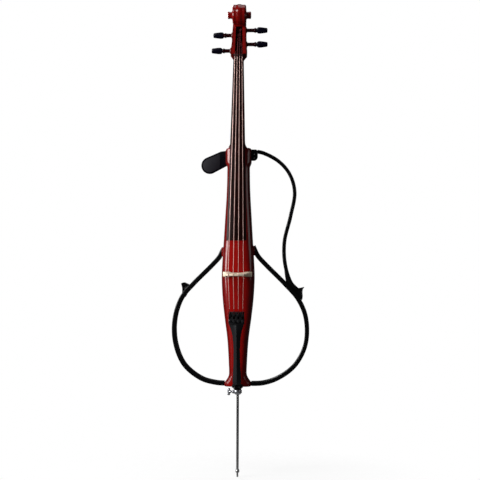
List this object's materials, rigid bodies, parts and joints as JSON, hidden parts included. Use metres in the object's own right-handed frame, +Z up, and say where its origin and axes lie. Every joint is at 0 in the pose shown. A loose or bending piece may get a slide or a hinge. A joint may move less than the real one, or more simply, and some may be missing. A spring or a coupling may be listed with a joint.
{
  "type": "electric cello",
  "caption": "Slim solid-bodied electric cello with a full-length neck, bent side frames, a folding chest pad and a sliding end pin.",
  "frame": {"origin": "foot of the end pin, where its flat tip meets the floor", "axes": "+Z up the instrument along the end pin, strings face -Y, +X towards the player's left as seen from the front: the treble side, with the upper frame"},
  "size_m": [0.4359, 0.1829, 1.5012],
  "materials": {
    "varnish": "clear red-brown varnish, glossy",
    "ebony": "dark hardwood, satin",
    "maple": "unvarnished pale maple",
    "frame": "black lacquered laminated wood, glossy",
    "resin": "satin black moulded resin",
    "rubber": "dark grey padded cushion",
    "steel": "plain steel",
    "chrome": "polished plating",
    "string": "flat wound metal",
    "board": "green solder mask",
    "battery": "painted steel can"
  },
  "bodies": {
    "instrument": {"body": "varnish", "neck": "varnish", "fingerboard": "ebony", "nut": "ebony", "bridge": "maple", "pickup_bass": "steel", "pickup_treble": "steel", "tailpiece": "resin", "tuner_axle": "steel", "tailgut": "resin", "saddle": "ebony", "string_c": "string", "string_g": "string", "string_d": "string", "string_a": "string", "endpin_plug": "ebony", "endpin_clamp": "chrome", "socket_left": "varnish", "socket_right": "varnish", "shoulder_bracket": "frame", "chest_pad_bracket": "resin", "chest_pad_pivot": "steel", "control_panel": "resin", "line_out_jack": "steel", "phones_jack": "steel", "circuit_board": "board", "battery_left": "battery", "battery_right": "battery"},
    "peg_c": {"peg_c": "ebony"},
    "peg_g": {"peg_g": "ebony"},
    "peg_d": {"peg_d": "ebony"},
    "peg_a": {"peg_a": "ebony"},
    "tuner_screw_c": {"tuner_screw_c": "resin"},
    "tuner_screw_g": {"tuner_screw_g": "resin"},
    "tuner_screw_d": {"tuner_screw_d": "resin"},
    "tuner_screw_a": {"tuner_screw_a": "resin"},
    "tuner_lever_c": {"tuner_lever_c": "resin"},
    "tuner_lever_g": {"tuner_lever_g": "resin"},
    "tuner_lever_d": {"tuner_lever_d": "resin"},
    "tuner_lever_a": {"tuner_lever_a": "resin"},
    "endpin": {"endpin_rod": "steel", "endpin_ferrule": "steel", "endpin_point": "steel"},
    "endpin_screw": {"endpin_screw": "chrome"},
    "left_frame": {"frame_left": "frame", "corner_left": "frame"},
    "right_frame": {"frame_right": "frame", "frame_upper_right": "frame", "corner_right": "frame"},
    "knob_left": {"frame_knob_left": "resin"},
    "knob_right": {"frame_knob_right": "resin"},
    "knob_shoulder": {"frame_knob_shoulder": "resin"},
    "chest_pad": {"chest_pad_arm": "resin", "chest_pad_cushion": "rubber"},
    "volume_knob": {"volume_knob": "resin"},
    "reverb_switch": {"reverb_switch": "resin"},
    "power_switch": {"power_switch": "resin"},
    "battery_door": {"battery_door": "resin"}
  },
  "joints": [
    {"name": "peg_c_turn", "type": "hinge", "parent": "instrument", "child": "peg_c", "pos_m": [-0.04, -0.002, 1.3504], "axis": [-1, 0, 0], "continuous": true},
    {"name": "peg_g_turn", "type": "hinge", "parent": "instrument", "child": "peg_g", "pos_m": [-0.04, 0.0145, 1.4015], "axis": [-1, 0, 0], "continuous": true},
    {"name": "peg_d_turn", "type": "hinge", "parent": "instrument", "child": "peg_d", "pos_m": [0.04, 0.0185, 1.418], "axis": [1, 0, 0], "continuous": true},
    {"name": "peg_a_turn", "type": "hinge", "parent": "instrument", "child": "peg_a", "pos_m": [0.04, 0.005, 1.3716], "axis": [1, 0, 0], "continuous": true},
    {"name": "tuner_screw_c_turn", "type": "hinge", "parent": "instrument", "child": "tuner_screw_c", "pos_m": [-0.02025, -0.09722, 0.49737], "axis": [0, 0.9859, 0.1676], "range_deg": [0, 1080]},
    {"name": "tuner_screw_g_turn", "type": "hinge", "parent": "instrument", "child": "tuner_screw_g", "pos_m": [-0.00675, -0.09722, 0.49737], "axis": [0, 0.9859, 0.1676], "range_deg": [0, 1080]},
    {"name": "tuner_screw_d_turn", "type": "hinge", "parent": "instrument", "child": "tuner_screw_d", "pos_m": [0.00675, -0.09722, 0.49737], "axis": [0, 0.9859, 0.1676], "range_deg": [0, 1080]},
    {"name": "tuner_screw_a_turn", "type": "hinge", "parent": "instrument", "child": "tuner_screw_a", "pos_m": [0.02025, -0.09722, 0.49737], "axis": [0, 0.9859, 0.1676], "range_deg": [0, 1080]},
    {"name": "tuner_lever_c_rock", "type": "hinge", "parent": "instrument", "child": "tuner_lever_c", "pos_m": [-0.02025, -0.0838, 0.51689], "axis": [1, 0, 0], "range_deg": [0, 8]},
    {"name": "tuner_lever_g_rock", "type": "hinge", "parent": "instrument", "child": "tuner_lever_g", "pos_m": [-0.00675, -0.0838, 0.51689], "axis": [1, 0, 0], "range_deg": [0, 8]},
    {"name": "tuner_lever_d_rock", "type": "hinge", "parent": "instrument", "child": "tuner_lever_d", "pos_m": [0.00675, -0.0838, 0.51689], "axis": [1, 0, 0], "range_deg": [0, 8]},
    {"name": "tuner_lever_a_rock", "type": "hinge", "parent": "instrument", "child": "tuner_lever_a", "pos_m": [0.02025, -0.0838, 0.51689], "axis": [1, 0, 0], "range_deg": [0, 8]},
    {"name": "endpin_slide", "type": "slide", "parent": "instrument", "child": "endpin", "axis": [0, 0, 1], "range_m": [0, 0.22]},
    {"name": "endpin_screw_turn", "type": "hinge", "parent": "instrument", "child": "endpin_screw", "pos_m": [-0.02, 0, 0.27], "axis": [1, 0, 0], "range_deg": [0, 720]},
    {"name": "left_frame_pull", "type": "slide", "parent": "instrument", "child": "left_frame", "axis": [-1, 0, 0], "range_m": [0, 0.06]},
    {"name": "right_frame_pull", "type": "slide", "parent": "instrument", "child": "right_frame", "axis": [1, 0, 0], "range_m": [0, 0.06]},
    {"name": "knob_left_turn", "type": "hinge", "parent": "instrument", "child": "knob_left", "pos_m": [-0.04, 0.04, 0.7145], "axis": [0, 1, 0], "range_deg": [0, 1080]},
    {"name": "knob_right_turn", "type": "hinge", "parent": "instrument", "child": "knob_right", "pos_m": [0.04, 0.04, 0.7195], "axis": [0, 1, 0], "range_deg": [0, 1080]},
    {"name": "knob_shoulder_turn", "type": "hinge", "parent": "instrument", "child": "knob_shoulder", "pos_m": [0.0535, 0.028, 1.03], "axis": [0, 1, 0], "range_deg": [0, 1080]},
    {"name": "chest_pad_fold", "type": "hinge", "parent": "instrument", "child": "chest_pad", "pos_m": [-0.018, 0.045, 1.026], "axis": [0, -1, 0], "range_deg": [0, 60]},
    {"name": "volume_turn", "type": "hinge", "parent": "instrument", "child": "volume_knob", "pos_m": [0, 0.045, 0.882], "axis": [0, -1, 0], "range_deg": [-135, 135]},
    {"name": "reverb_slide", "type": "slide", "parent": "instrument", "child": "reverb_switch", "axis": [1, 0, 0], "range_m": [-0.004, 0.004]},
    {"name": "power_slide", "type": "slide", "parent": "instrument", "child": "power_switch", "axis": [1, 0, 0], "range_m": [0, 0.005]},
    {"name": "battery_door_slide", "type": "slide", "parent": "instrument", "child": "battery_door", "axis": [0, 0, -1], "range_m": [0, 0.068]}
  ],
  "couplings": [
    {"joint": "tuner_lever_c_rock", "follows": "tuner_screw_c_turn", "ratio": 0.0074},
    {"joint": "tuner_lever_g_rock", "follows": "tuner_screw_g_turn", "ratio": 0.0074},
    {"joint": "tuner_lever_d_rock", "follows": "tuner_screw_d_turn", "ratio": 0.0074},
    {"joint": "tuner_lever_a_rock", "follows": "tuner_screw_a_turn", "ratio": 0.0074}
  ]
}
